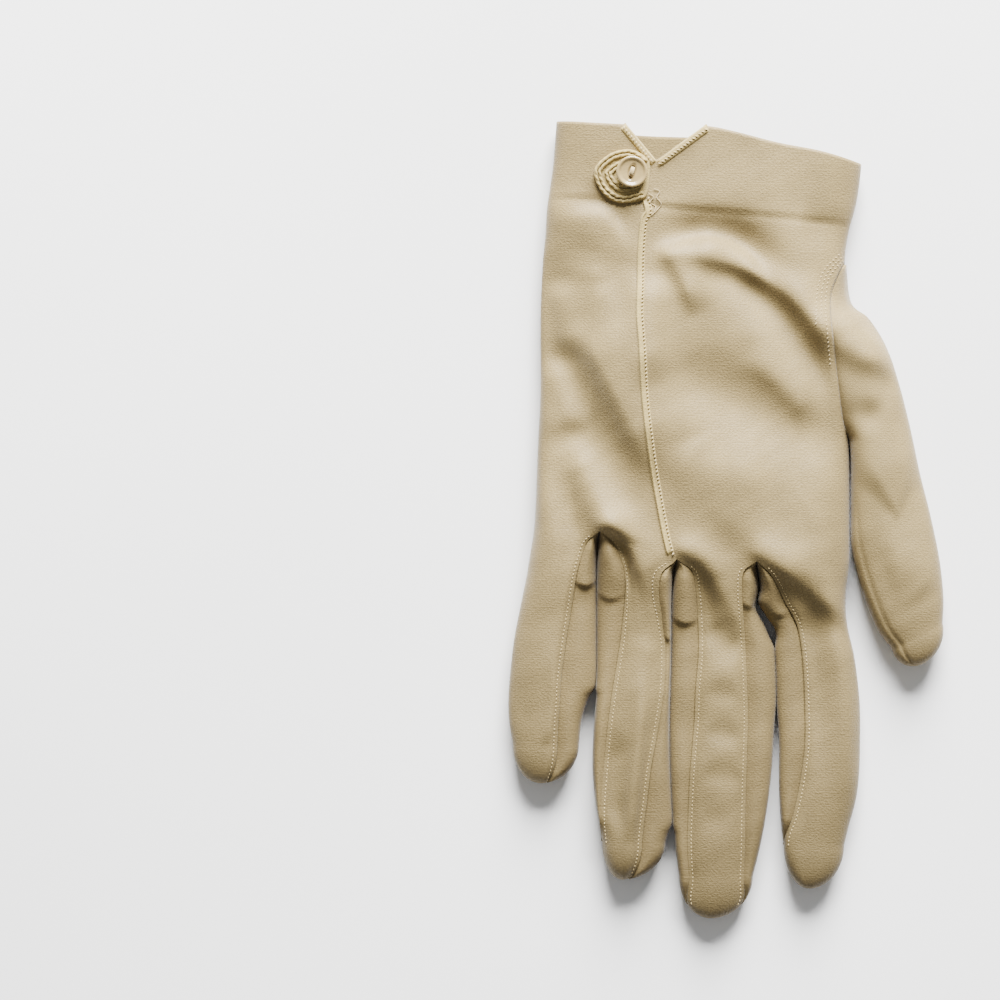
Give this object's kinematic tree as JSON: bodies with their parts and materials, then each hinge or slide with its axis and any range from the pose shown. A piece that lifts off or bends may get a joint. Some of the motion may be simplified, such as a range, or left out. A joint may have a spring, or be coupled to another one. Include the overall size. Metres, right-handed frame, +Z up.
{
  "type": "fabric dress glove",
  "caption": "Short wrist-length fabric glove lying palm side up, with fourchettes between the fingers, a set-in thumb, a centre seam and a buttoned notch in the cuff.",
  "frame": {"origin": "centre of the glove's outline, on the surface that it lies on", "axes": "+Y from the fingertips towards the cuff, +Z up out of the palm side, +X towards the thumb"},
  "size_m": [0.1256, 0.23, 0.0192],
  "materials": {
    "glove_cloth": "ecru warp-knitted fabric with a satin sheen",
    "strip_cloth": "the same ecru knit, cut across",
    "facing_cloth": "the knit's matt inner side",
    "trim_cloth": "the same knit, folded and stitched in rows",
    "button_pearl": "pearly cream, polished",
    "sewing_thread": "cream sewing thread"
  },
  "bodies": {
    "root": {"trank": "glove_cloth", "cuff_facing": "facing_cloth", "fourchette_pinky_ring": "strip_cloth", "fourchette_ring_middle": "strip_cloth", "fourchette_middle_index": "strip_cloth", "thumb": "glove_cloth", "centre_seam": "trim_cloth", "notch_binding_left": "trim_cloth", "notch_binding_right": "trim_cloth", "button_tab": "trim_cloth", "button": "button_pearl", "button_thread": "sewing_thread"}
  },
  "joints": []
}
